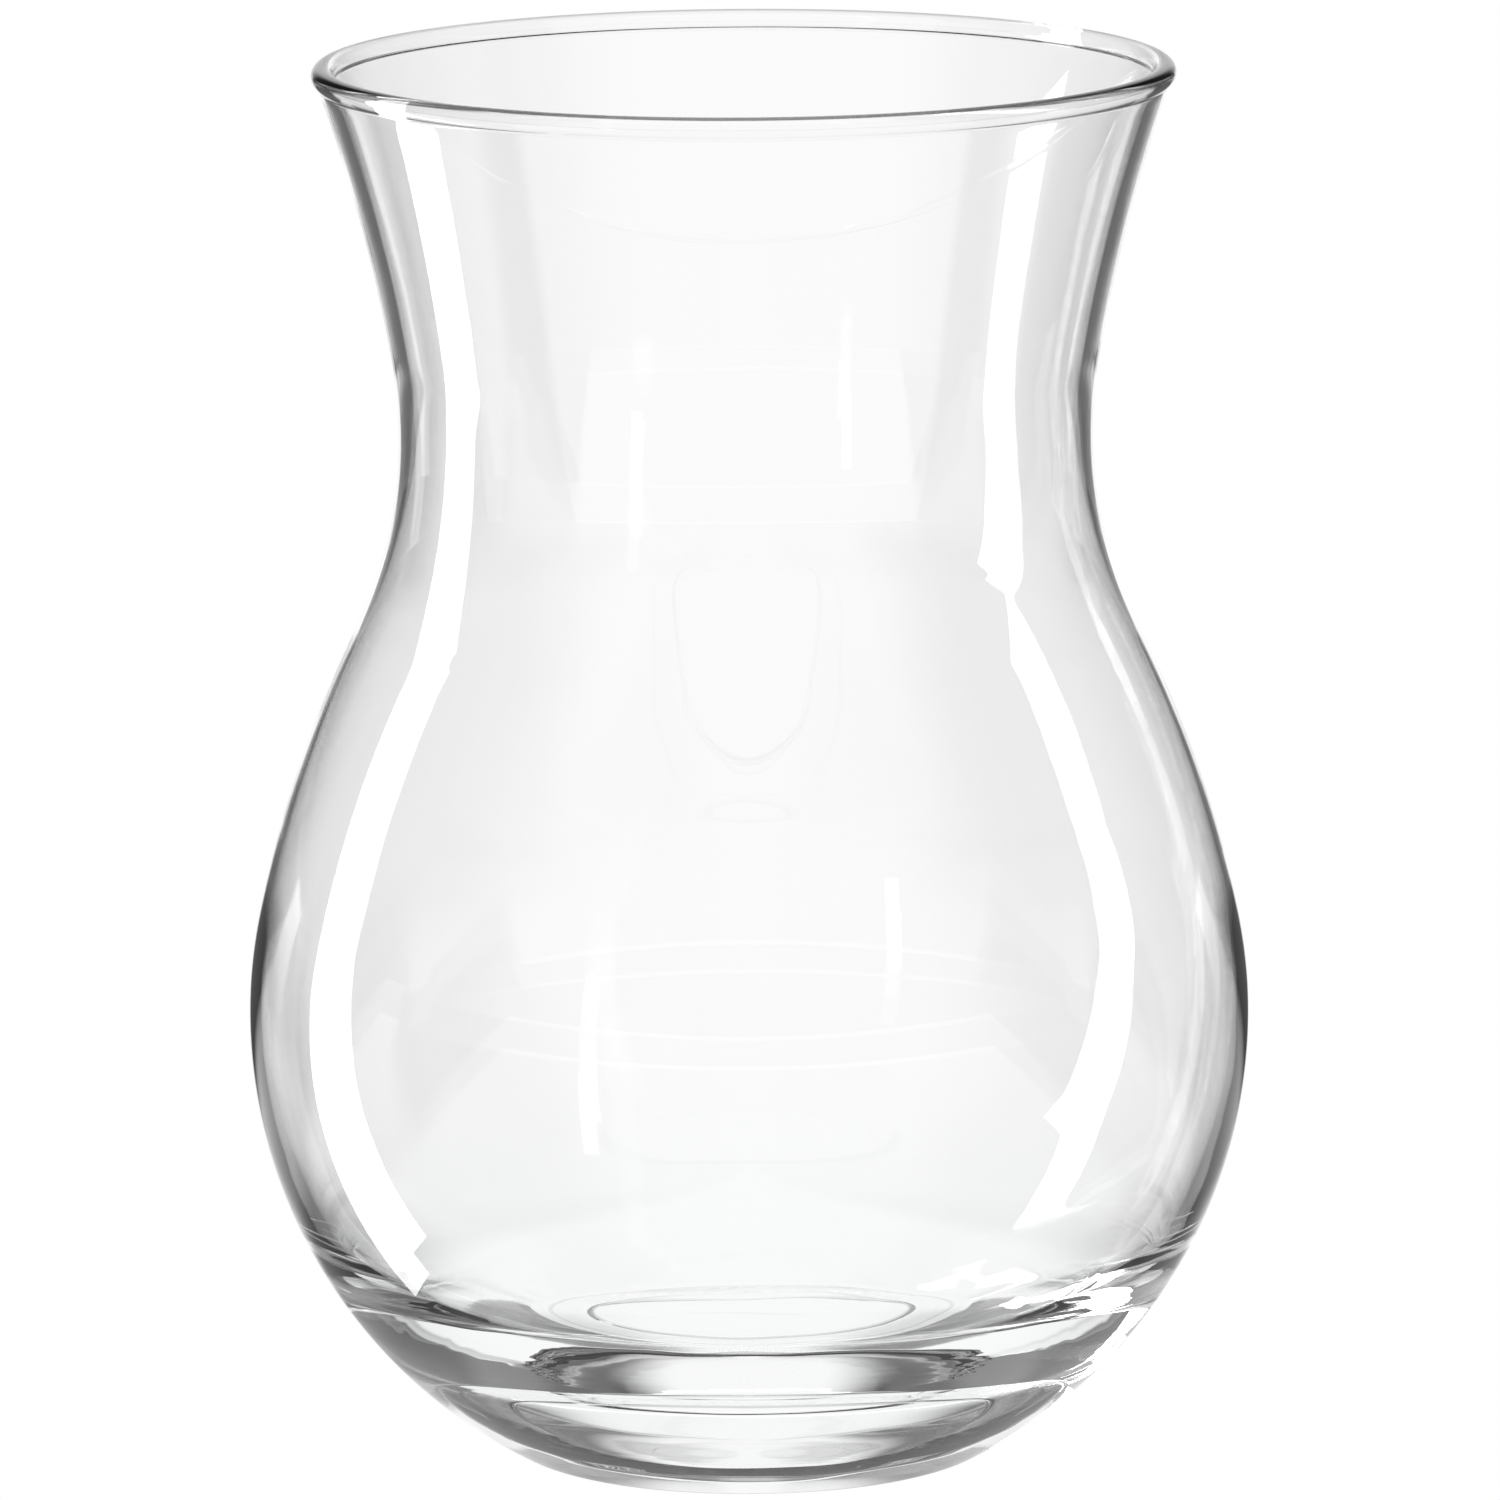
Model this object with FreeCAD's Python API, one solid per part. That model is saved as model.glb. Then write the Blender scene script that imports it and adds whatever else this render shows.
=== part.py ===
import FreeCAD, Part
import math
import os

# Hyacinth forcing vase: one piece of clear blown glass, round about its axis.
# Millimetres, +Z up. The origin is where the axis meets the surface that the vase stands on.

# Outside of the body, from the foot up
foot_diameter = 61.0            # where the round belly would meet the ground
foot_edge_radius = 3.0          # rounding from the belly into the underside
underside_lift_angle = 6.0      # degrees that the underside rises outside the bearing ring
underside_width = 2.0           # lifted margin between the belly and the bearing ring
bearing_width = 5.3             # flat ring that the vase stands on
punt_depth = 1.1                # hollow under the foot, inside that ring
punt_edge_radius = 1.2          # hollow curve from the punt's roof down to the ring
belly_diameter = 128.7
shoulder_radius = 156.7         # slow curve from the belly towards the waist
waist_diameter = 88.7           # narrowest, where a bulb sits
belly_to_waist = 75.4           # height from the widest circle to the narrowest
lower_waist_share = 0.653       # of the largest curve that fits between belly and waist
waist_to_rim = 46.5             # height from the waist to the middle of the rim's bead
mouth_overhang = 10.25          # the mouth stands out this far past the waist, all round
upper_waist_share = 0.5875      # of the single curve that would run from waist to rim
flare_radius = 217.0            # slow outward curve below the rim

# Walls and cavity
belly_wall = 1.4
cavity_belly_rise = 2.5         # the cavity's widest circle lies above the outside's
waist_wall = 1.9
cavity_waist_rise = 2.9
cavity_lower_share = 0.70
cavity_upper_share = 0.40
rim_wall = 2.0
floor_thickness = 13.4          # solid glass on the axis, from the ground to the cavity
floor_dish_radius = 200.0       # the cavity's floor is slightly dished
corner_radius = 29.0            # from the cavity's wall into its floor

# Fire-polished rim
bead_swell = 0.4                # the bead stands proud of the wall on each side
bead_blend_radius = 1.2         # hollow curve from the wall into the bead


def meet(centre_a, radius_a, centre_b, radius_b, side):
    """Returns where two circles cross, to the left (+1) or right (-1) of the way from a to b."""
    across = centre_b[0] - centre_a[0]
    along = centre_b[1] - centre_a[1]
    gap = math.hypot(across, along)
    reach = (radius_a ** 2 - radius_b ** 2 + gap ** 2) / (2 * gap)
    offset = side * math.sqrt(radius_a ** 2 - reach ** 2)
    x = centre_a[0] + (reach * across - offset * along) / gap
    z = centre_a[1] + (reach * along + offset * across) / gap
    return x, z


def towards(start, end, distance):
    """Returns the point at a distance from start on the line through end."""
    share = distance / math.hypot(end[0] - start[0], end[1] - start[1])
    return start[0] + share * (end[0] - start[0]), start[1] + share * (end[1] - start[1])


def vector(point):
    return FreeCAD.Vector(point[0], 0, point[1])


def arc(centre, radius, start, end):
    """Returns the shorter arc of a circle between two points on it."""
    chord_middle = ((start[0] + end[0]) / 2, (start[1] + end[1]) / 2)
    middle = towards(centre, chord_middle, radius)
    return Part.Arc(vector(start), vector(middle), vector(end)).toShape()


def line(start, end):
    return Part.makeLine(vector(start), vector(end))


def side_wall(belly_radius, belly_height, waist_radius, waist_height, mouth_radius, rim_height,
              lower_share, upper_share):
    """Works out a side: belly, shoulder, waist and flare as circles, each touching the next."""
    rise = waist_height - belly_height
    overhang = mouth_radius - waist_radius
    flare_height = rim_height - waist_height
    largest_lower = (rise ** 2 / (belly_radius - waist_radius) - belly_radius - waist_radius) / 2
    single_upper = (overhang ** 2 + flare_height ** 2) / (2 * overhang)
    lower = lower_share * largest_lower
    upper = upper_share * single_upper
    belly_centre = (0, belly_height)
    lower_centre = (waist_radius + lower, waist_height)
    upper_centre = (waist_radius + upper, waist_height)
    shoulder_centre = meet(belly_centre, shoulder_radius - belly_radius,
                           lower_centre, shoulder_radius + lower, 1)
    mouth = (mouth_radius, rim_height)
    flare_centre = meet(upper_centre, flare_radius - upper, mouth, flare_radius, -1)
    return {
        "belly": (belly_centre, belly_radius),
        "flare": (flare_centre, flare_radius),
        "belly_top": towards(shoulder_centre, belly_centre, shoulder_radius),
        "circles": [
            (shoulder_centre, shoulder_radius),
            (lower_centre, lower),
            (upper_centre, upper),
        ],
        "joints": [
            towards(shoulder_centre, belly_centre, shoulder_radius),
            towards(shoulder_centre, lower_centre, shoulder_radius),
            (waist_radius, waist_height),
            towards(flare_centre, upper_centre, flare_radius),
        ],
    }


def middle_arcs(side):
    """Returns a side's shoulder and waist arcs, from the belly up to the flare."""
    arcs = []
    for index, (centre, radius) in enumerate(side["circles"]):
        arcs.append(arc(centre, radius, side["joints"][index], side["joints"][index + 1]))
    return arcs


def foot_edge(belly_centre, ring_outer):
    """Returns the foot rounding's centre, and where the lifted underside runs into it."""
    lift = math.radians(underside_lift_angle)
    along = (math.cos(lift), math.sin(lift))
    start_x = ring_outer[0] - foot_edge_radius * along[1] - belly_centre[0]
    start_z = ring_outer[1] + foot_edge_radius * along[0] - belly_centre[1]
    reach = belly_diameter / 2 - foot_edge_radius
    forward = start_x * along[0] + start_z * along[1]
    run = math.sqrt(forward ** 2 - start_x ** 2 - start_z ** 2 + reach ** 2) - forward
    centre = (belly_centre[0] + start_x + run * along[0], belly_centre[1] + start_z + run * along[1])
    end = (ring_outer[0] + run * along[0], ring_outer[1] + run * along[1])
    return centre, end


def glass_outline():
    """Returns the closed half outline of the glass, from the punt round to the cavity's floor."""
    belly_radius = belly_diameter / 2
    belly_height = math.sqrt(belly_radius ** 2 - (foot_diameter / 2) ** 2)
    waist_radius = waist_diameter / 2
    waist_height = belly_height + belly_to_waist
    rim_height = waist_height + waist_to_rim
    mouth_radius = waist_radius + mouth_overhang
    outside = side_wall(belly_radius, belly_height, waist_radius, waist_height,
                        mouth_radius, rim_height, lower_waist_share, upper_waist_share)
    cavity_radius = belly_radius - belly_wall
    cavity_height = belly_height + cavity_belly_rise
    inside = side_wall(cavity_radius, cavity_height, waist_radius - waist_wall,
                       waist_height + cavity_waist_rise, mouth_radius - rim_wall, rim_height,
                       cavity_lower_share, cavity_upper_share)

    # Foot: flat-roofed punt, bearing ring, slightly lifted underside and the rounding into the belly
    belly_centre, _ = outside["belly"]
    bearing_radius = foot_diameter / 2 - underside_width
    punt_radius = bearing_radius - bearing_width
    centre_depth = punt_edge_radius - punt_depth
    roof_radius = punt_radius - math.sqrt(punt_edge_radius ** 2 - centre_depth ** 2)
    punt_middle = (0, punt_depth)
    roof_edge = (roof_radius, punt_depth)
    ring_inner = (punt_radius, 0)
    ring_outer = (bearing_radius, 0)
    edge_centre, underside_end = foot_edge(belly_centre, ring_outer)
    edge_top = towards(belly_centre, edge_centre, belly_radius)
    foot = [
        line(punt_middle, roof_edge),
        arc((roof_radius, -centre_depth), punt_edge_radius, roof_edge, ring_inner),
        line(ring_inner, ring_outer),
        line(ring_outer, underside_end),
        arc(edge_centre, foot_edge_radius, underside_end, edge_top),
    ]

    # Rim: a round bead, blended into the flare's two faces
    bead_radius = rim_wall / 2 + bead_swell
    bead_centre = (mouth_radius - rim_wall / 2, rim_height)
    bead_top = (bead_centre[0], rim_height + bead_radius)
    flare_centre = outside["flare"][0]
    outer_blend = meet(flare_centre, flare_radius - bead_blend_radius,
                       bead_centre, bead_radius + bead_blend_radius, 1)
    outer_start = towards(flare_centre, outer_blend, flare_radius)
    outer_end = towards(bead_centre, outer_blend, bead_radius)
    bore_centre = inside["flare"][0]
    inner_blend = meet(bore_centre, flare_radius + bead_blend_radius,
                       bead_centre, bead_radius + bead_blend_radius, 1)
    inner_start = towards(bead_centre, inner_blend, bead_radius)
    inner_end = towards(bore_centre, inner_blend, flare_radius)
    rim = [
        arc(outer_blend, bead_blend_radius, outer_start, outer_end),
        arc(bead_centre, bead_radius, outer_end, bead_top),
        arc(bead_centre, bead_radius, bead_top, inner_start),
        arc(inner_blend, bead_blend_radius, inner_start, inner_end),
    ]

    # Cavity floor: a shallow dish, with a wide corner up into the cavity's belly
    cavity_centre, _ = inside["belly"]
    dish_centre = (0, floor_thickness + floor_dish_radius)
    corner_x, corner_z = meet(dish_centre, floor_dish_radius - corner_radius,
                              cavity_centre, cavity_radius - corner_radius, 1)
    corner_centre = (abs(corner_x), corner_z)
    corner_top = towards(cavity_centre, corner_centre, cavity_radius)
    floor_edge = towards(dish_centre, corner_centre, floor_dish_radius)
    floor_middle = (0, floor_thickness)

    edges = list(foot)
    edges.append(arc(belly_centre, belly_radius, edge_top, outside["belly_top"]))
    edges.extend(middle_arcs(outside))
    edges.append(arc(flare_centre, flare_radius, outside["joints"][-1], outer_start))
    edges.extend(rim)
    edges.append(arc(bore_centre, flare_radius, inner_end, inside["joints"][-1]))
    edges.extend(middle_arcs(inside))
    edges.append(arc(cavity_centre, cavity_radius, inside["belly_top"], corner_top))
    edges.append(arc(corner_centre, corner_radius, corner_top, floor_edge))
    edges.append(arc(dish_centre, floor_dish_radius, floor_edge, floor_middle))
    edges.append(line(floor_middle, punt_middle))
    return edges


def glass_vase():
    """Returns the vase: its half outline turned once about the axis."""
    wire = Part.Wire(Part.__sortEdges__(glass_outline()))
    half_section = Part.Face(wire)
    axis_start = FreeCAD.Vector(0, 0, 0)
    axis_direction = FreeCAD.Vector(0, 0, 1)
    return half_section.revolve(axis_start, axis_direction, 360)


def main():
    os.makedirs("parts", exist_ok=True)
    vase = glass_vase()
    vase.exportStep("parts/glass_vase.step")
    box = vase.optimalBoundingBox()
    print("valid", vase.isValid(), "solids", len(vase.Solids), "volume", round(vase.Volume))
    print("box", round(box.XLength, 2), round(box.YLength, 2), round(box.ZMin, 3), round(box.ZMax, 2))


main()
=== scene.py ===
import bpy
import math
from mathutils import Euler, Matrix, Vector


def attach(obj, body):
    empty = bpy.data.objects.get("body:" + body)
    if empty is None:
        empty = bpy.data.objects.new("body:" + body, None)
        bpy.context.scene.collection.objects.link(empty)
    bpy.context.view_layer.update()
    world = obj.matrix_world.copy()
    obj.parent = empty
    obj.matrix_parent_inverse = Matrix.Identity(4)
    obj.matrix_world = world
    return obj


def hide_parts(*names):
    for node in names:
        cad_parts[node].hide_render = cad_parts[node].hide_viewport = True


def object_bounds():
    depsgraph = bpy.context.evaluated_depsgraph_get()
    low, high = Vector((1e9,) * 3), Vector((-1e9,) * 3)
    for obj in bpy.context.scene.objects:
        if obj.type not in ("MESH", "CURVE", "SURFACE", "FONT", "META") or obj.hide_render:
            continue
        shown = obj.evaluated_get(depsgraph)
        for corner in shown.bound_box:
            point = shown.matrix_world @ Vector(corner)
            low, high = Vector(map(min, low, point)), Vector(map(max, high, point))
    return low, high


# Hyacinth forcing vase: one piece of clear blown glass on a pale sweep, lit as in a bright studio tent.
# Metres and radians, +Z up. The vase stands on the origin, and the viewer looks along +Y.

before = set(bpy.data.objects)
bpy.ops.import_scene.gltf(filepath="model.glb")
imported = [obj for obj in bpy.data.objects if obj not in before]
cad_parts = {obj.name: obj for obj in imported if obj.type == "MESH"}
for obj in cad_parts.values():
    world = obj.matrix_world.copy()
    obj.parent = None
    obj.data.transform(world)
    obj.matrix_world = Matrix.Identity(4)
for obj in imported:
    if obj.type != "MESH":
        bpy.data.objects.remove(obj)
cad_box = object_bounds()
scene = bpy.context.scene

MM = 0.001
DEGREE = math.radians(1)

# Outside of the body, from the foot up
FOOT_DIAMETER = 61.0 * MM               # where the round belly would meet the ground
FOOT_EDGE_RADIUS = 3.0 * MM             # rounding from the belly into the underside
UNDERSIDE_LIFT = 6.0 * DEGREE           # how the underside rises outside the bearing ring
UNDERSIDE_WIDTH = 2.0 * MM              # lifted margin between the belly and the bearing ring
BEARING_WIDTH = 5.3 * MM                # flat ring that the vase stands on
PUNT_DEPTH = 1.1 * MM                   # hollow under the foot, inside that ring
PUNT_EDGE_RADIUS = 1.2 * MM             # hollow curve from the punt's roof down to the ring
BELLY_DIAMETER = 128.7 * MM
SHOULDER_RADIUS = 156.7 * MM            # slow curve from the belly towards the waist
WAIST_DIAMETER = 88.7 * MM              # narrowest, where a bulb sits
BELLY_TO_WAIST = 75.4 * MM              # height from the widest circle to the narrowest
LOWER_WAIST_SHARE = 0.653               # of the largest curve that fits between belly and waist
WAIST_TO_RIM = 46.5 * MM                # height from the waist to the middle of the rim's bead
MOUTH_OVERHANG = 10.25 * MM             # the mouth stands out this far past the waist, all round
UPPER_WAIST_SHARE = 0.5875              # of the single curve that would run from waist to rim
FLARE_RADIUS = 217.0 * MM               # slow outward curve below the rim

# Walls and cavity
BELLY_WALL = 1.4 * MM
CAVITY_BELLY_RISE = 2.5 * MM            # the cavity's widest circle lies above the outside's
WAIST_WALL = 1.9 * MM
CAVITY_WAIST_RISE = 2.9 * MM
CAVITY_LOWER_SHARE = 0.70
CAVITY_UPPER_SHARE = 0.40
RIM_WALL = 2.0 * MM
FLOOR_THICKNESS = 13.4 * MM             # solid glass on the axis, from the ground to the cavity
FLOOR_DISH_RADIUS = 200.0 * MM          # the cavity's floor is slightly dished
CORNER_RADIUS = 29.0 * MM               # from the cavity's wall into its floor

# Fire-polished rim
BEAD_SWELL = 0.4 * MM                   # the bead stands proud of the wall on each side
BEAD_BLEND_RADIUS = 1.2 * MM            # hollow curve from the wall into the bead

# Circles that the outline and the finish share
BEARING_RADIUS = FOOT_DIAMETER / 2 - UNDERSIDE_WIDTH
PUNT_RADIUS = BEARING_RADIUS - BEARING_WIDTH
MOUTH_RADIUS = WAIST_DIAMETER / 2 + MOUTH_OVERHANG
BEAD_MIDDLE = MOUTH_RADIUS - RIM_WALL / 2

# Fineness of the lathe
SEGMENTS = 204
ARC_STEP = 3.0 * DEGREE
LENGTH_STEP = 1.3 * MM
CREASE_STEP = 0.08 * MM
CLOSEST_POINTS = CREASE_STEP / 4
MERGE_DISTANCE = 0.0005 * MM            # closes the lathe's seam and its two poles

# Blown glass is never quite even: how far each stretch of the surface wanders, and over what lengths
RIPPLE_HEIGHTS = {"underside": 0.0, "outside": 0.0, "rim": 0.0, "wall": 0.012 * MM, "floor": 0.14 * MM}
RIPPLE_ACROSS = 30.0 * MM
RIPPLE_UPWARDS = 9.0 * MM
RIPPLE_SEED = 4.0

# From here on, a pair of values is where a change begins and where it is full.
WHITE = (1.0, 1.0, 1.0, 1.0)

# Clear soda-lime glass, a touch cooler where it is thick
GLASS_IOR = 1.52
COOL_TINT = (0.985, 0.995, 0.992, 1.0)
CLEAR_HEIGHTS = (14 * MM, 44 * MM)

# Soft waves in its skin, longer around the body than up it, and finer streaks drawn round the base
WAVES_PER_METRE = 42.0
WAVE_STRETCH = (1.0, 1.0, 1.8)
STREAKS_PER_METRE = (30.0, 30.0, 420.0)
STREAK_SHARE = 1.2
STREAK_END_HEIGHTS = (9.0 * MM, 18.0 * MM)
SKIN_STRENGTH = 0.02
SKIN_DEPTH = 1.0 * MM

# Worn bearing ring: matt, with finer scuffs
WEAR_ROUGHNESS = 0.22
WEAR_END_SHARES = (0.35, 0.5)           # of the ring's width, from its middle
WEAR_END_HEIGHTS = (0.02 * MM, 0.12 * MM)
SCUFFS_PER_METRE = 900.0
SCUFF_RANGE = (0.35, 0.65)

# Painted shade: thin dark lines along the bearing ring's outer edge, the punt's edge and the rim's bead,
# standing in for the dark surroundings that these edges show
PAINTED_SHADE_COLOUR = (0.06, 0.06, 0.06, 1.0)
RING_SHADE_DARKNESS = 0.42
RING_LINE_END = (0.2 * MM, 0.5 * MM)
PUNT_SHADE_DARKNESS = 0.56
PUNT_LINE_END = (0.4 * MM, 0.8 * MM)
FOOT_LINE_END_HEIGHTS = (1.2 * MM, 1.5 * MM)
BEAD_LINE_WIDTH = 0.20 * MM             # from the bead's middle outwards
BEAD_LINE_BELOW_TOP = (0.38 * MM, 0.28 * MM)
CROWN_SHADE_DARKNESS = 0.7
CROWN_LINE_BELOW_TOP = (0.25 * MM, 0.03 * MM)

# Pale sweep, all that the camera sees of the studio: a disc under the vase that runs into a dome
SWEEP_RADIUS = 8.0
SWEEP_DROP = 0.05 * MM
SWEEP_SIDES = 48
SWEEP_TIERS = 12
SWEEP_LEVEL = 1.0

# Lit table, which the glass sees and the camera doesn't
TABLE_RADIUS = 6.0
TABLE_DROP = 0.06 * MM
TABLE_SIDES = 96
TABLE_LEVEL = 0.965

# Its main lane runs past the vase along the viewer's sight, and its edges spread by so much per metre
LANE_HALF_WIDTH = 0.066
LANE_SOFTNESS = 0.035
LANE_BACK_SPREAD = 0.045
LANE_FAR_START = 0.3
LANE_FAR_SPREAD = 0.25
LANE_FRONT_SPREAD = 1.5

# Softer lanes run out to all sides, so that the glass reads as clear from each of them
SIDE_LANES = 8
SIDE_LANE_HALF_WIDTH = 0.030
SIDE_LANE_SOFTNESS = 0.05
SIDE_LANE_FAR_START = 0.6
SIDE_LANE_FAR_SPREAD = 0.05
SIDE_LANE_LEVEL = 0.92
SIDE_LANE_BACK_RIGHT_DROP = 0.25
SIDE_LANE_BACK_RIGHT = (0.0, 0.08)
SIDE_LANE_NEAR_SHARE = 0.5
SIDE_LANE_RADII = (0.08, 0.2)
HALF_GAP = math.pi / SIDE_LANES         # from the middle of a lane to the middle of the gap beside it

# The table between the lanes is dim
DIM_NEAR_LEVEL = 0.06
DIM_FAR_LEVEL = 0.15
DIM_RADII = (0.12, 0.4)

# Two oval shades beside the vase darken its heel, and a faint one lies under the front of the heel
SHADE_BESIDE = 0.08
SHADE_BEHIND = 0.015
SHADE_HALF_WIDTH = 0.04
SHADE_HALF_LENGTH = 0.065
SHADE_END_SHARES = (0.5, 1.15)          # of the way from an oval's middle to its edge
LEFT_SHADE = 0.6
RIGHT_SHADE = 0.4
SHADE_LEFT_TO_RIGHT = (-0.01, 0.01)
UNDER_SHADE = 0.2
UNDER_START_RADII = (0.022, 0.026)
UNDER_END_RADII = (0.043, 0.05)
UNDER_FORWARDS = (0.0, 0.01)
UNDER_SIDEWAYS = (0.008, 0.02)

# Upright strip lights, placed by azimuth about a point beside the vase and a little before it
STRIP_BESIDE = 0.05
STRIP_BEFORE = 0.035
STRIP_TOP = 0.30
STRIP_FOOT = -0.34
STRIP_LIGHTS = {
    "strip light": {"azimuth": -67 * DEGREE, "reach": 0.42, "width": 0.112, "strength": 6.0},
    "far strip light": {"azimuth": -145 * DEGREE, "reach": 1.0, "width": 0.07, "strength": 1.5},
}

# Tent, by the direction seen from the vase: azimuths run from +Y, behind it, towards +X
TENT_LEVEL = 0.55
TENT_FOOT = (-0.035, -0.02)             # height of a direction one metre long
TENT_LEFT_TO_RIGHT = (-0.05, 0.05)      # its reach to the right
WINDOW_GAIN = 0.4                       # straight behind the vase
WINDOW_END = (9 * DEGREE, 22 * DEGREE)
FRONT_GAIN = 0.35                       # behind the viewer
FRONT_START = (80 * DEGREE, 130 * DEGREE)
FLAG_DROP = 0.5                         # the dark flags at both sides
FLAG_END = (80 * DEGREE, 138 * DEGREE)
FLAG_END_ELEVATION = (50 * DEGREE, 72 * DEGREE)
RIGHT_FLAG_EXTENT = 15 * DEGREE         # the right-hand flag reaches further round
SLIT_GAIN = 0.12                        # gaps in the flags, above the table's side lanes
SLIT_END = (4 * DEGREE, 12 * DEGREE)

# Camera: a long lens from a little above, leaning a hair to the left
CAMERA_SENSOR = 36.0
CAMERA_LENS = 285.5
CAMERA_PLACE = (0.0003, -1.5017, 0.3741)
CAMERA_DIP = 10.68 * DEGREE
CAMERA_LEAN = 0.34 * DEGREE
CAMERA_FARTHEST = 30.0


def meet(centre_a, radius_a, centre_b, radius_b, side):
    """Returns where two circles cross, to the left (+1) or right (-1) of the way from a to b."""
    across = centre_b[0] - centre_a[0]
    along = centre_b[1] - centre_a[1]
    gap = math.hypot(across, along)
    reach = (radius_a ** 2 - radius_b ** 2 + gap ** 2) / (2 * gap)
    offset = side * math.sqrt(radius_a ** 2 - reach ** 2)
    x = centre_a[0] + (reach * across - offset * along) / gap
    z = centre_a[1] + (reach * along + offset * across) / gap
    return x, z


def towards(start, end, distance):
    """Returns the point at a distance from start on the line through end."""
    share = distance / math.dist(start, end)
    return start[0] + share * (end[0] - start[0]), start[1] + share * (end[1] - start[1])


def arc(centre, radius, start, end):
    """Returns points along the shorter arc of a circle, both ends included."""
    first = math.atan2(start[1] - centre[1], start[0] - centre[0])
    last = math.atan2(end[1] - centre[1], end[0] - centre[0])
    turn = (last - first + math.pi) % (2 * math.pi) - math.pi
    count = max(2, math.ceil(abs(turn) / ARC_STEP), math.ceil(abs(turn) * radius / LENGTH_STEP))
    angles = [first + turn * step / count for step in range(count + 1)]
    return [(centre[0] + radius * math.cos(angle), centre[1] + radius * math.sin(angle)) for angle in angles]


def crease_line(start, end):
    """Returns points along a straight stretch, with one close to each end to keep its creases crisp."""
    length = math.dist(start, end)
    count = max(1, math.ceil(length / LENGTH_STEP))
    distances = [CREASE_STEP + (length - 2 * CREASE_STEP) * step / count for step in range(count + 1)]
    return [start] + [towards(start, end, distance) for distance in distances] + [end]


def side_wall(belly_radius, belly_height, waist_radius, waist_height, mouth_radius, rim_height,
              lower_share, upper_share):
    """Works out a side: belly, shoulder, waist and flare as circles, each touching the next."""
    rise = waist_height - belly_height
    overhang = mouth_radius - waist_radius
    flare_height = rim_height - waist_height
    largest_lower = (rise ** 2 / (belly_radius - waist_radius) - belly_radius - waist_radius) / 2
    single_upper = (overhang ** 2 + flare_height ** 2) / (2 * overhang)
    lower = lower_share * largest_lower
    upper = upper_share * single_upper
    belly_centre = (0, belly_height)
    lower_centre = (waist_radius + lower, waist_height)
    upper_centre = (waist_radius + upper, waist_height)
    shoulder_centre = meet(belly_centre, SHOULDER_RADIUS - belly_radius,
                           lower_centre, SHOULDER_RADIUS + lower, 1)
    mouth = (mouth_radius, rim_height)
    flare_centre = meet(upper_centre, FLARE_RADIUS - upper, mouth, FLARE_RADIUS, -1)
    belly_top = towards(shoulder_centre, belly_centre, SHOULDER_RADIUS)
    lower_top = towards(shoulder_centre, lower_centre, SHOULDER_RADIUS)
    waist = (waist_radius, waist_height)
    flare_foot = towards(flare_centre, upper_centre, FLARE_RADIUS)
    middle = [
        arc(shoulder_centre, SHOULDER_RADIUS, belly_top, lower_top),
        arc(lower_centre, lower, lower_top, waist),
        arc(upper_centre, upper, waist, flare_foot),
    ]
    return {"flare_centre": flare_centre, "belly_top": belly_top, "flare_foot": flare_foot, "middle": middle}


def foot_edge(belly_centre, ring_outer):
    """Returns the foot rounding's centre, and where the lifted underside runs into it."""
    along = (math.cos(UNDERSIDE_LIFT), math.sin(UNDERSIDE_LIFT))
    start_x = ring_outer[0] - FOOT_EDGE_RADIUS * along[1] - belly_centre[0]
    start_z = ring_outer[1] + FOOT_EDGE_RADIUS * along[0] - belly_centre[1]
    reach = BELLY_DIAMETER / 2 - FOOT_EDGE_RADIUS
    forward = start_x * along[0] + start_z * along[1]
    run = math.sqrt(forward ** 2 - start_x ** 2 - start_z ** 2 + reach ** 2) - forward
    centre = (belly_centre[0] + start_x + run * along[0], belly_centre[1] + start_z + run * along[1])
    end = (ring_outer[0] + run * along[0], ring_outer[1] + run * along[1])
    return centre, end


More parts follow.
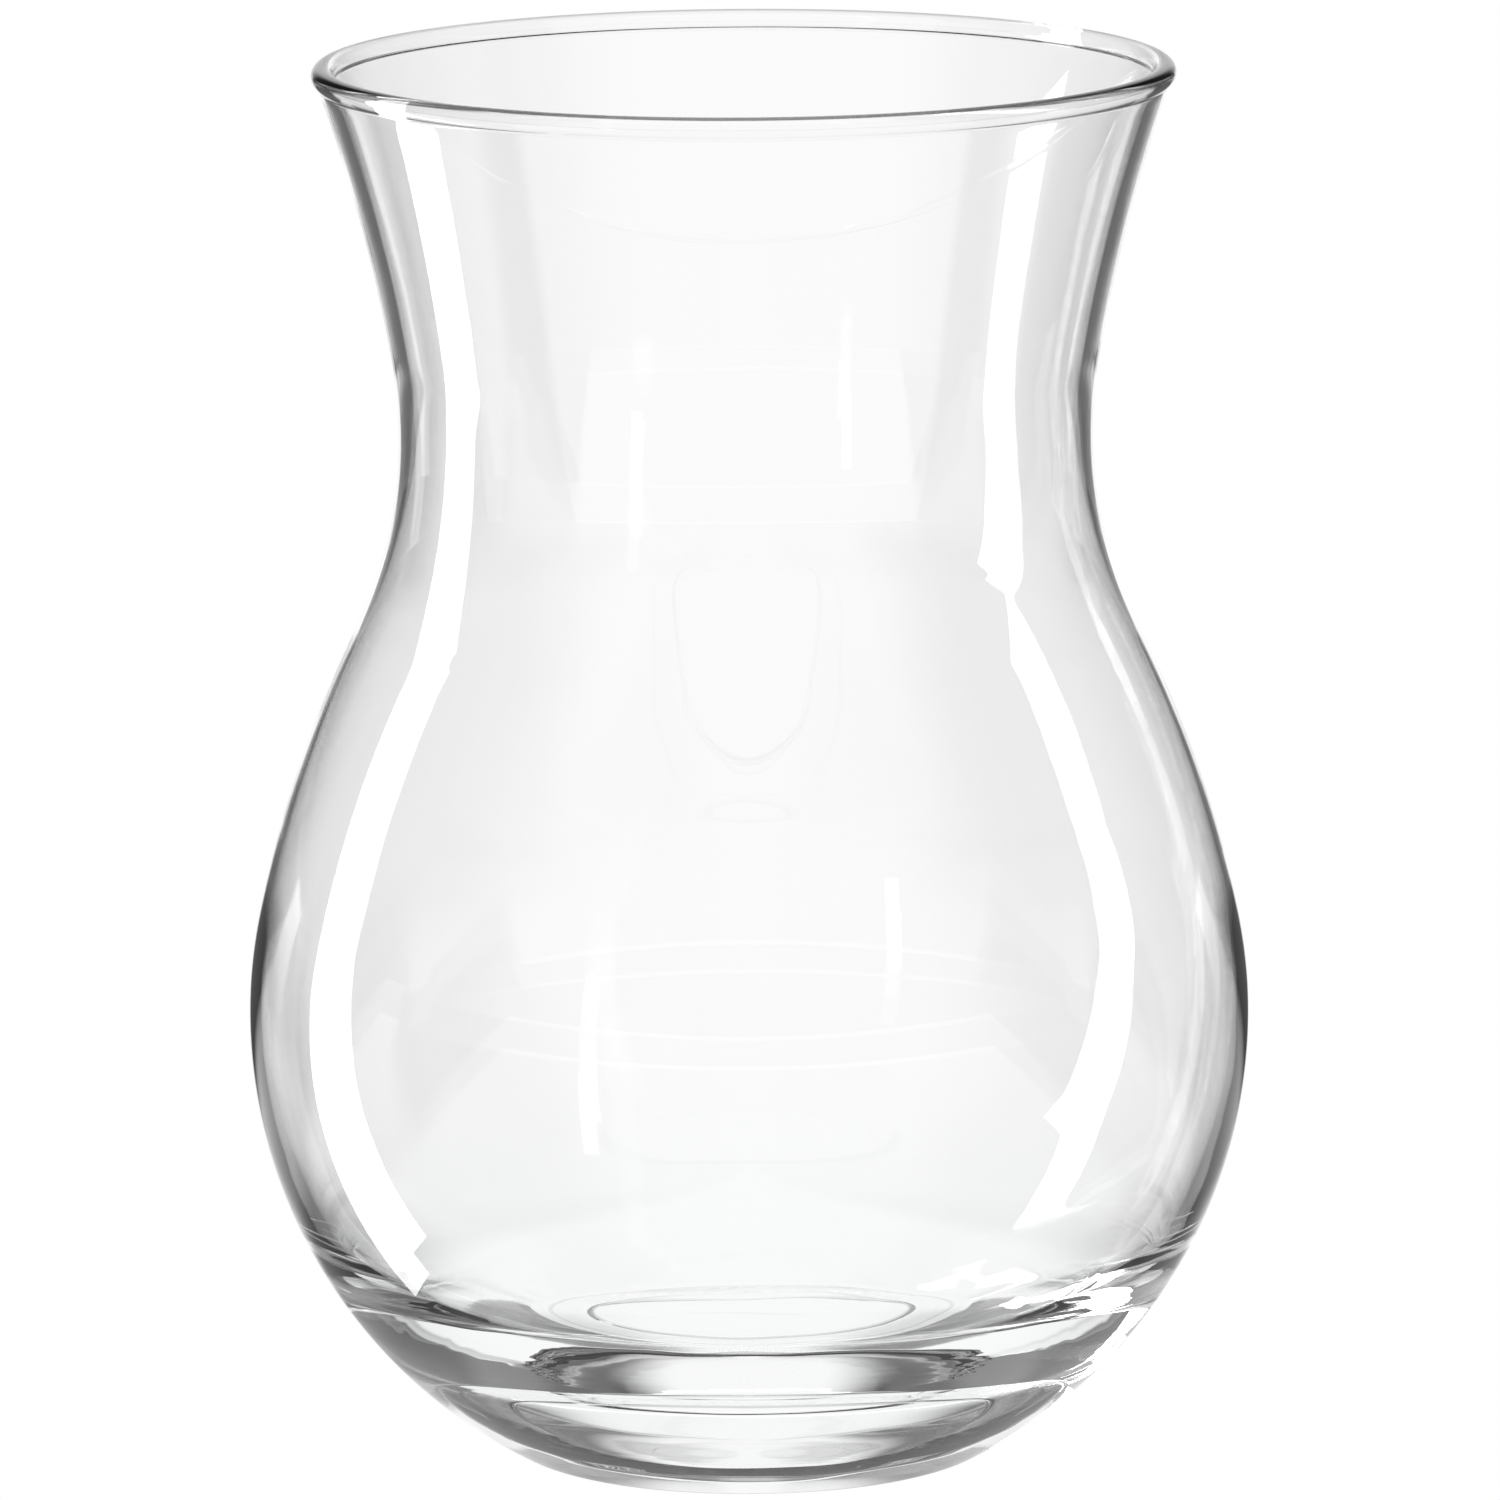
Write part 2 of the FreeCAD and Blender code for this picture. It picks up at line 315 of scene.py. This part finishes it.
def glass_outline():
    """Returns the half outline as named stretches of points, from the punt round to the cavity's floor."""
    belly_radius = BELLY_DIAMETER / 2
    belly_height = math.sqrt(belly_radius ** 2 - (FOOT_DIAMETER / 2) ** 2)
    waist_radius = WAIST_DIAMETER / 2
    waist_height = belly_height + BELLY_TO_WAIST
    rim_height = waist_height + WAIST_TO_RIM
    cavity_radius = belly_radius - BELLY_WALL
    belly_centre = (0, belly_height)
    cavity_centre = (0, belly_height + CAVITY_BELLY_RISE)
    outside = side_wall(belly_radius, belly_height, waist_radius, waist_height,
                        MOUTH_RADIUS, rim_height, LOWER_WAIST_SHARE, UPPER_WAIST_SHARE)
    inside = side_wall(cavity_radius, cavity_centre[1], waist_radius - WAIST_WALL,
                       waist_height + CAVITY_WAIST_RISE, MOUTH_RADIUS - RIM_WALL, rim_height,
                       CAVITY_LOWER_SHARE, CAVITY_UPPER_SHARE)

    centre_depth = PUNT_EDGE_RADIUS - PUNT_DEPTH
    roof_radius = PUNT_RADIUS - math.sqrt(PUNT_EDGE_RADIUS ** 2 - centre_depth ** 2)
    roof_edge = (roof_radius, PUNT_DEPTH)
    ring_inner = (PUNT_RADIUS, 0)
    ring_outer = (BEARING_RADIUS, 0)
    edge_centre, underside_end = foot_edge(belly_centre, ring_outer)
    edge_top = towards(belly_centre, edge_centre, belly_radius)

    bead_radius = RIM_WALL / 2 + BEAD_SWELL
    blend_reach = bead_radius + BEAD_BLEND_RADIUS
    bead_centre = (BEAD_MIDDLE, rim_height)
    bead_top = (BEAD_MIDDLE, rim_height + bead_radius)
    flare_centre = outside["flare_centre"]
    bore_centre = inside["flare_centre"]
    outer_blend = meet(flare_centre, FLARE_RADIUS - BEAD_BLEND_RADIUS, bead_centre, blend_reach, 1)
    inner_blend = meet(bore_centre, FLARE_RADIUS + BEAD_BLEND_RADIUS, bead_centre, blend_reach, 1)
    outer_start = towards(flare_centre, outer_blend, FLARE_RADIUS)
    outer_end = towards(bead_centre, outer_blend, bead_radius)
    inner_start = towards(bead_centre, inner_blend, bead_radius)
    inner_end = towards(bore_centre, inner_blend, FLARE_RADIUS)

    dish_centre = (0, FLOOR_THICKNESS + FLOOR_DISH_RADIUS)
    corner_x, corner_z = meet(dish_centre, FLOOR_DISH_RADIUS - CORNER_RADIUS,
                              cavity_centre, cavity_radius - CORNER_RADIUS, 1)
    corner_centre = (abs(corner_x), corner_z)
    corner_top = towards(cavity_centre, corner_centre, cavity_radius)
    floor_edge = towards(dish_centre, corner_centre, FLOOR_DISH_RADIUS)

    inner_middle = [list(reversed(points)) for points in reversed(inside["middle"])]
    return [
        ("underside", [(0, PUNT_DEPTH), roof_edge]),
        ("underside", arc((roof_radius, -centre_depth), PUNT_EDGE_RADIUS, roof_edge, ring_inner)),
        ("underside", crease_line(ring_inner, ring_outer)),
        ("underside", crease_line(ring_outer, underside_end)),
        ("outside", arc(edge_centre, FOOT_EDGE_RADIUS, underside_end, edge_top)),
        ("outside", arc(belly_centre, belly_radius, edge_top, outside["belly_top"])),
        *[("outside", points) for points in outside["middle"]],
        ("outside", arc(flare_centre, FLARE_RADIUS, outside["flare_foot"], outer_start)),
        ("rim", arc(outer_blend, BEAD_BLEND_RADIUS, outer_start, outer_end)),
        ("rim", arc(bead_centre, bead_radius, outer_end, bead_top)),
        ("rim", arc(bead_centre, bead_radius, bead_top, inner_start)),
        ("rim", arc(inner_blend, BEAD_BLEND_RADIUS, inner_start, inner_end)),
        ("wall", arc(bore_centre, FLARE_RADIUS, inner_end, inside["flare_foot"])),
        *[("wall", points) for points in inner_middle],
        ("wall", arc(cavity_centre, cavity_radius, inside["belly_top"], corner_top)),
        ("floor", arc(corner_centre, CORNER_RADIUS, corner_top, floor_edge)),
        ("floor", arc(dish_centre, FLOOR_DISH_RADIUS, floor_edge, (0, FLOOR_THICKNESS))),
    ]


class Value:
    """A node's output that can be used in sums."""

    def __init__(self, tree, socket):
        self.tree = tree
        self.socket = socket

    def __add__(self, other):
        return self.maths("ADD", other)

    def __radd__(self, other):
        return self.tree.maths("ADD", other, self)

    def __sub__(self, other):
        return self.maths("SUBTRACT", other)

    def __rsub__(self, other):
        return self.tree.maths("SUBTRACT", other, self)

    def __mul__(self, other):
        return self.maths("MULTIPLY", other)

    def __rmul__(self, other):
        return self.tree.maths("MULTIPLY", other, self)

    def __truediv__(self, other):
        return self.maths("DIVIDE", other)

    def __rtruediv__(self, other):
        return self.tree.maths("DIVIDE", other, self)

    def maths(self, operation, *others):
        """Applies any Math node's operation to this value."""
        return self.tree.maths(operation, self, *others)

    def maximum(self, other):
        return self.maths("MAXIMUM", other)

    def absolute(self):
        return self.maths("ABSOLUTE")

    def siblings(self):
        """Returns all the outputs of this value's node by name."""
        return {socket.name: Value(self.tree, socket) for socket in self.socket.node.outputs}


class Tree:
    """Adds nodes to a node tree, each with one call."""

    def __init__(self, node_tree):
        self.nodes = node_tree.nodes
        self.links = node_tree.links

    def node(self, kind, settings=None, inputs=None, output=0):
        """Adds a node, sets its settings, then fills its inputs, and returns the wanted output."""
        added = self.nodes.new(kind)
        for name, value in (settings or {}).items():
            setattr(added, name, value)
        for name, value in (inputs or {}).items():
            if isinstance(value, Value):
                self.links.new(value.socket, added.inputs[name])
            else:
                added.inputs[name].default_value = value
        return Value(self, added.outputs[output]) if added.outputs else None

    def maths(self, operation, *values):
        """Adds a Math node with its values in order."""
        return self.node("ShaderNodeMath", {"operation": operation}, dict(enumerate(values)))

    def ramp(self, value, low, high):
        """Runs smoothly from 0 to 1 as the value goes from low to high."""
        return self.node("ShaderNodeMapRange", {"interpolation_type": "SMOOTHSTEP"},
                         {"Value": value, "From Min": low, "From Max": high})

    def split(self, vector):
        """Returns a vector's three parts."""
        return self.node("ShaderNodeSeparateXYZ", inputs={"Vector": vector}).siblings().values()

    def mix(self, share, first, second):
        """Runs from the first colour to the second as the share goes from 0 to 1."""
        return self.node("ShaderNodeMix", {"data_type": "RGBA"},
                         {"Factor": share, "A": first, "B": second}, output="Result")


def between(low, high, share):
    """Runs from low to high as the share goes from 0 to 1."""
    return low + (high - low) * share


def hypotenuse(x, y):
    """Returns how far a place is from the middle, where both its parts are 0."""
    return (x * x + y * y).maths("SQRT")


def lathe_tree():
    """Returns the node group that turns a half outline about Z, with its sizes as inputs."""
    group = bpy.data.node_groups.new("glass lathe", "GeometryNodeTree")
    inputs = {
        "Outline": "NodeSocketGeometry",
        "Segments": "NodeSocketInt",
        "Points": "NodeSocketInt",
        "Ripple across": "NodeSocketFloat",
        "Ripple upwards": "NodeSocketFloat",
        "Seed": "NodeSocketFloat",
        "Glass": "NodeSocketMaterial",
    }
    for name, kind in inputs.items():
        group.interface.new_socket(name, in_out="INPUT", socket_type=kind)
    group.interface.new_socket("Vase", in_out="OUTPUT", socket_type="NodeSocketGeometry")
    tree = Tree(group)
    sizes = tree.node("NodeGroupInput").siblings()

    # A flat sheet of points, one row for each segment, is bent round the axis
    grid = tree.node("GeometryNodeMeshGrid",
                     inputs={"Vertices X": sizes["Segments"] + 1, "Vertices Y": sizes["Points"]})
    index = tree.node("GeometryNodeInputIndex")
    along = index.maths("MODULO", sizes["Points"])
    around = (index / sizes["Points"]).maths("FLOOR")
    angle = around / sizes["Segments"] * math.tau

    def sampled(kind, field):
        return tree.node("GeometryNodeSampleIndex", {"data_type": kind},
                         {"Geometry": sizes["Outline"], "Value": field, "Index": along})

    def attribute(kind, name):
        return tree.node("GeometryNodeInputNamedAttribute", {"data_type": kind}, {"Name": name})

    def turned(vector):
        return tree.node("ShaderNodeVectorRotate", {"rotation_type": "Z_AXIS"},
                         {"Vector": vector, "Angle": angle})

    place = turned(sampled("FLOAT_VECTOR", tree.node("GeometryNodeInputPosition")))
    outward = turned(sampled("FLOAT_VECTOR", attribute("FLOAT_VECTOR", "outward")))
    height = sampled("FLOAT", attribute("FLOAT", "ripple"))
    pitch = tree.node("ShaderNodeCombineXYZ", inputs={
        "X": sizes["Ripple across"],
        "Y": sizes["Ripple across"],
        "Z": sizes["Ripple upwards"],
    })
    field = tree.node("ShaderNodeVectorMath", {"operation": "DIVIDE"}, {0: place, 1: pitch})
    noise = tree.node("ShaderNodeTexNoise", {"noise_dimensions": "4D"},
                      {"Vector": field, "W": sizes["Seed"], "Scale": 1.0, "Detail": 2.0, "Roughness": 0.45})
    # Noise runs from 0 to 1 about its middle, and the ripple as far inwards as outwards
    lift = (noise - 0.5) * 2 * height
    offset = tree.node("ShaderNodeVectorMath", {"operation": "SCALE"}, {0: outward, "Scale": lift})
    bent = tree.node("GeometryNodeSetPosition",
                     inputs={"Geometry": grid, "Position": place, "Offset": offset})
    closed = tree.node("GeometryNodeMergeByDistance",
                       inputs={"Geometry": bent, "Distance": MERGE_DISTANCE})
    smooth = tree.node("GeometryNodeSetShadeSmooth", inputs={"Geometry": closed})
    real = tree.node("GeometryNodeRealizeInstances", inputs={"Geometry": smooth})
    glazed = tree.node("GeometryNodeSetMaterial", inputs={"Geometry": real, "Material": sizes["Glass"]})
    tree.node("NodeGroupOutput", inputs={"Vase": glazed})
    return group


def outline_mesh():
    """Returns the half outline as a row of points, each with its outward direction and its ripple height."""
    points = []
    ripples = []
    for stretch, places in glass_outline():
        for place in places:
            if points and math.dist(points[-1], place) < CLOSEST_POINTS:
                continue
            points.append(place)
            ripples.append(RIPPLE_HEIGHTS[stretch])
    outward = []
    for before, after in zip(points[:1] + points, points[1:] + points[-1:]):
        length = math.dist(before, after)
        outward.extend([(after[1] - before[1]) / length, 0, (before[0] - after[0]) / length])
    mesh = bpy.data.meshes.new("outline")
    places = [(max(x, 0), 0, z) for x, z in points]
    mesh.from_pydata(places, [(index, index + 1) for index in range(len(points) - 1)], [])
    mesh.attributes.new("ripple", "FLOAT", "POINT").data.foreach_set("value", ripples)
    mesh.attributes.new("outward", "FLOAT_VECTOR", "POINT").data.foreach_set("vector", outward)
    return mesh


def new_material(name):
    """Returns an empty material and the tree that its nodes go into."""
    material = bpy.data.materials.new(name)
    material.use_nodes = True
    material.node_tree.nodes.clear()
    return material, Tree(material.node_tree)


def glass_wear(tree, place, radius, z):
    """Returns the glass's roughness: none but on the worn bearing ring."""
    ring_middle = BEARING_RADIUS - BEARING_WIDTH / 2
    wear_end = [BEARING_WIDTH * share for share in WEAR_END_SHARES]
    on_ring = 1 - tree.ramp((radius - ring_middle).absolute(), *wear_end)
    at_ground = 1 - tree.ramp(z, *WEAR_END_HEIGHTS)
    scuffs = tree.node("ShaderNodeTexNoise",
                       inputs={"Vector": place, "Scale": SCUFFS_PER_METRE, "Detail": 3.0})
    return on_ring * at_ground * tree.ramp(scuffs, *SCUFF_RANGE) * WEAR_ROUGHNESS


def painted_shade_lines(tree, radius, z):
    """Returns how dark the painted shade is: thin lines along the foot's edges and the rim's bead."""
    # Painted shade at the foot: dark rings on the bearing ring's outer edge and on the punt's edge
    punt_edge = PUNT_RADIUS - PUNT_EDGE_RADIUS / 2
    ring_line = 1 - tree.ramp((radius - BEARING_RADIUS).absolute(), *RING_LINE_END)
    punt_line = 1 - tree.ramp((radius - punt_edge).absolute(), *PUNT_LINE_END)
    foot_lines = ring_line * RING_SHADE_DARKNESS + punt_line * PUNT_SHADE_DARKNESS
    foot_lines = foot_lines * (1 - tree.ramp(z, *FOOT_LINE_END_HEIGHTS))

    # Painted shade at the rim: a dark line on the bead's outer half and its crown, standing in for the dark
    # surroundings that the rim shows
    rim_top = cad_box[1][2]
    bead_line = tree.ramp(z, *(rim_top - depth for depth in BEAD_LINE_BELOW_TOP))
    bead_line = bead_line * tree.ramp(radius, BEAD_MIDDLE, BEAD_MIDDLE + BEAD_LINE_WIDTH)
    crown_line = tree.ramp(z, *(rim_top - depth for depth in CROWN_LINE_BELOW_TOP)) * CROWN_SHADE_DARKNESS
    return foot_lines + bead_line.maximum(crown_line)


def glass_skin(tree, place, z):
    """Returns the bump of the faint waves and streaks that blowing leaves."""
    stretched = tree.node("ShaderNodeMapping", inputs={"Vector": place, "Scale": WAVE_STRETCH})
    waves = tree.node("ShaderNodeTexNoise",
                      inputs={"Vector": stretched, "Scale": WAVES_PER_METRE, "Detail": 1.0, "Roughness": 0.4})
    drawn = tree.node("ShaderNodeMapping", inputs={"Vector": place, "Scale": STREAKS_PER_METRE})
    streaks = tree.node("ShaderNodeTexNoise",
                        inputs={"Vector": drawn, "Scale": 1.0, "Detail": 1.0, "Roughness": 0.5})
    low = 1 - tree.ramp(z, *STREAK_END_HEIGHTS)
    return tree.node("ShaderNodeBump", inputs={"Height": waves + streaks * low * STREAK_SHARE,
                                               "Strength": SKIN_STRENGTH, "Distance": SKIN_DEPTH})


def clear_glass():
    """Clear soda-lime glass: faintly cool, with soft waves in its skin, a worn ring where it stands and
    painted shade lines at its foot and rim.
    """
    material, tree = new_material("clear glass")
    place = tree.node("ShaderNodeTexCoord", output="Object")
    x, y, z = tree.split(place)
    radius = hypotenuse(x, y)
    tint = tree.mix(1 - tree.ramp(z, *CLEAR_HEIGHTS), WHITE, COOL_TINT)
    # The base colour carries painted shade: dark lines at the foot's edges and along the rim's bead
    glass = tree.node("ShaderNodeBsdfPrincipled", inputs={
        "Base Color": tree.mix(painted_shade_lines(tree, radius, z), tint, PAINTED_SHADE_COLOUR),
        "Roughness": glass_wear(tree, place, radius, z),
        "Normal": glass_skin(tree, place, z),
        "Transmission Weight": 1.0,
        "IOR": GLASS_IOR,
    })
    tree.node("ShaderNodeOutputMaterial", inputs={"Surface": glass})
    return material


def glass_vase():
    """Turns the outline into the vase and hands it over as a plain mesh."""
    maker = bpy.data.objects.new("outline", outline_mesh())
    scene.collection.objects.link(maker)
    group = lathe_tree()
    modifier = maker.modifiers.new("lathe", "NODES")
    modifier.node_group = group
    sizes = {
        "Segments": SEGMENTS,
        "Points": len(maker.data.vertices),
        "Ripple across": RIPPLE_ACROSS,
        "Ripple upwards": RIPPLE_UPWARDS,
        "Seed": RIPPLE_SEED,
        "Glass": clear_glass(),
    }
    for item in group.interface.items_tree:
        if item.in_out == "INPUT" and item.name in sizes:
            modifier[item.identifier] = sizes[item.name]
    evaluated = maker.evaluated_get(bpy.context.evaluated_depsgraph_get())
    mesh = bpy.data.meshes.new_from_object(evaluated)
    mesh.name = "blown_vase"
    maker.modifiers.remove(modifier)
    bpy.data.objects.remove(maker)
    vase = bpy.data.objects.new("blown_vase", mesh)
    scene.collection.objects.link(vase)
    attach(vase, "root")
    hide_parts("glass_vase")


def studio_piece(name, points, faces, material, unseen_by):
    """Sets up a piece of the studio, left out of the sight of the named kinds of ray."""
    mesh = bpy.data.meshes.new(name)
    mesh.from_pydata(points, [], faces)
    mesh.materials.append(material)
    piece = bpy.data.objects.new(name, mesh)
    scene.collection.objects.link(piece)
    for ray in unseen_by:
        setattr(piece, f"visible_{ray}", False)


def circle(radius, height, sides):
    """Returns points about the axis, from +X towards +Y."""
    turns = [math.tau * side / sides for side in range(sides)]
    return [(radius * math.cos(turn), radius * math.sin(turn), height) for turn in turns]


def white_glow(tree, strength):
    """Adds the shader of a white light."""
    return tree.node("ShaderNodeEmission", inputs={"Color": WHITE, "Strength": strength})


def glowing_material(name, strength):
    """Returns a material that gives off the same white light all over."""
    material, tree = new_material(name)
    tree.node("ShaderNodeOutputMaterial", inputs={"Surface": white_glow(tree, strength)})
    return material


def pale_sweep():
    """The floor and cove that the camera sees: evenly pale, a disc under the vase that runs into a dome."""
    points = []
    for tier in range(SWEEP_TIERS):
        lift = math.pi / 2 * tier / SWEEP_TIERS
        height = SWEEP_RADIUS * math.sin(lift) - SWEEP_DROP
        points.extend(circle(SWEEP_RADIUS * math.cos(lift), height, SWEEP_SIDES))
    faces = [tuple(range(SWEEP_SIDES))]
    for low in range(0, len(points) - SWEEP_SIDES, SWEEP_SIDES):
        high = low + SWEEP_SIDES
        for side in range(SWEEP_SIDES):
            after = (side + 1) % SWEEP_SIDES
            faces.append((low + side, high + side, high + after, low + after))
    faces.append(tuple(reversed(range(len(points) - SWEEP_SIDES, len(points)))))
    studio_piece("pale_sweep", points, faces, glowing_material("pale sweep", SWEEP_LEVEL),
                 unseen_by=("glossy", "transmission", "diffuse", "shadow"))


def table_lanes(tree, x, y, radius):
    """Returns the table's brightness: a main lane and softer side lanes on a dim ground."""
    widening = LANE_BACK_SPREAD * y.maximum(0.0) + LANE_FAR_SPREAD * (y - LANE_FAR_START).maximum(0.0)
    lane_edge = LANE_HALF_WIDTH + widening + LANE_FRONT_SPREAD * (-1 * y).maximum(0.0)
    lane = 1 - tree.ramp(x.absolute() - lane_edge, 0.0, LANE_SOFTNESS)

    across = radius * x.maths("ARCTAN2", y).maths("PINGPONG", HALF_GAP).maths("SINE")
    side_edge = SIDE_LANE_HALF_WIDTH + SIDE_LANE_FAR_SPREAD * (radius - SIDE_LANE_FAR_START).maximum(0.0)
    back_right = tree.ramp(x, *SIDE_LANE_BACK_RIGHT) * tree.ramp(y, *SIDE_LANE_BACK_RIGHT)
    side_lanes = 1 - tree.ramp(across - side_edge, 0.0, SIDE_LANE_SOFTNESS)
    side_lanes = side_lanes * (SIDE_LANE_LEVEL - SIDE_LANE_BACK_RIGHT_DROP * back_right)
    side_lanes = side_lanes * between(SIDE_LANE_NEAR_SHARE, 1, tree.ramp(radius, *SIDE_LANE_RADII))

    dim = between(DIM_NEAR_LEVEL, DIM_FAR_LEVEL, tree.ramp(radius, *DIM_RADII))
    return between(dim.maximum(side_lanes), 1, lane) * TABLE_LEVEL


def table_shades(tree, x, y, radius):
    """Returns the share of the table's light that the shades leave."""
    oval_x = (x.absolute() - SHADE_BESIDE) / SHADE_HALF_WIDTH
    oval_y = (y - SHADE_BEHIND) / SHADE_HALF_LENGTH
    beside = 1 - tree.ramp(hypotenuse(oval_x, oval_y), *SHADE_END_SHARES)
    beside = beside * between(LEFT_SHADE, RIGHT_SHADE, tree.ramp(x, *SHADE_LEFT_TO_RIGHT))
    under = tree.ramp(radius, *UNDER_START_RADII) * (1 - tree.ramp(radius, *UNDER_END_RADII))
    under = under * tree.ramp(-1 * y, *UNDER_FORWARDS) * tree.ramp(x.absolute(), *UNDER_SIDEWAYS)
    return (1 - beside) * (1 - UNDER_SHADE * under)


def lit_table():
    """What the glass sees below it: a bright lane past the vase and softer lanes to all sides."""
    material, tree = new_material("lit table")
    x, y, _ = tree.split(tree.node("ShaderNodeTexCoord", output="Object"))
    radius = hypotenuse(x, y)
    level = table_lanes(tree, x, y, radius) * table_shades(tree, x, y, radius)
    see_through = tree.node("ShaderNodeBsdfTransparent")
    both = tree.node("ShaderNodeAddShader", inputs={0: white_glow(tree, level), 1: see_through})
    tree.node("ShaderNodeOutputMaterial", inputs={"Surface": both})
    points = circle(TABLE_RADIUS, -TABLE_DROP, TABLE_SIDES)
    studio_piece("lit_table", points, [tuple(range(TABLE_SIDES))], material, unseen_by=("camera",))


def light_strip(name, azimuth, reach, width, strength):
    """An upright strip light that faces the vase, out of the camera's sight."""
    middle_x = math.copysign(STRIP_BESIDE, azimuth) + reach * math.sin(azimuth)
    middle_y = reach * math.cos(azimuth) - STRIP_BEFORE
    half_x = math.cos(azimuth) * width / 2
    half_y = -math.sin(azimuth) * width / 2
    corners = [(middle_x + way * half_x, middle_y + way * half_y, height)
               for way, height in ((-1, STRIP_FOOT), (1, STRIP_FOOT), (1, STRIP_TOP), (-1, STRIP_TOP))]
    studio_piece(name, corners, [(0, 1, 2, 3)], glowing_material(name, strength), unseen_by=("camera",))


def tent():
    """What the glass sees all round: bright behind the vase and behind the viewer, dark at the sides."""
    world = bpy.data.worlds.new("studio")
    world.use_nodes = True
    world.node_tree.nodes.clear()
    tree = Tree(world.node_tree)
    x, y, z = tree.split(tree.node("ShaderNodeTexCoord", output="Generated"))
    azimuth = x.maths("ARCTAN2", y)
    off_middle = azimuth.absolute()

    past_window = tree.ramp(off_middle, *WINDOW_END)
    right_extent = tree.ramp(x, *TENT_LEFT_TO_RIGHT) * RIGHT_FLAG_EXTENT
    flags = past_window * (1 - tree.ramp(off_middle - right_extent, *FLAG_END))
    flags = flags * (1 - tree.ramp(z.maths("ARCSINE"), *FLAG_END_ELEVATION))
    front = tree.ramp(off_middle, *FRONT_START)
    slits = 1 - tree.ramp(azimuth.maths("PINGPONG", HALF_GAP), *SLIT_END)

    level = TENT_LEVEL + FRONT_GAIN * front * (1 - flags) + WINDOW_GAIN * (1 - past_window)
    level = level - flags * (FLAG_DROP - SLIT_GAIN * slits)
    level = level * tree.ramp(z, *TENT_FOOT)
    sky = tree.node("ShaderNodeBackground", inputs={"Color": WHITE, "Strength": level})
    tree.node("ShaderNodeOutputWorld", inputs={"Surface": sky})
    scene.world = world


def camera():
    """The photograph's view of the vase."""
    data = bpy.data.cameras.new("camera")
    data.sensor_width = CAMERA_SENSOR
    data.lens = CAMERA_LENS
    data.clip_end = CAMERA_FARTHEST
    seen = bpy.data.objects.new("camera", data)
    scene.collection.objects.link(seen)
    seen.location = CAMERA_PLACE
    seen.rotation_mode = "QUATERNION"
    pitch = Euler((90 * DEGREE - CAMERA_DIP, 0, 0)).to_quaternion()
    roll = Euler((0, 0, -CAMERA_LEAN)).to_quaternion()
    seen.rotation_quaternion = pitch @ roll
    scene.camera = seen


camera()
tent()
pale_sweep()
lit_table()
for name, strip in STRIP_LIGHTS.items():
    light_strip(name, **strip)
glass_vase()

scene.view_settings.view_transform = "Standard"
scene.cycles.use_denoising = True
scene.cycles.max_bounces = 24
scene.cycles.transmission_bounces = 24
scene.cycles.glossy_bounces = 16
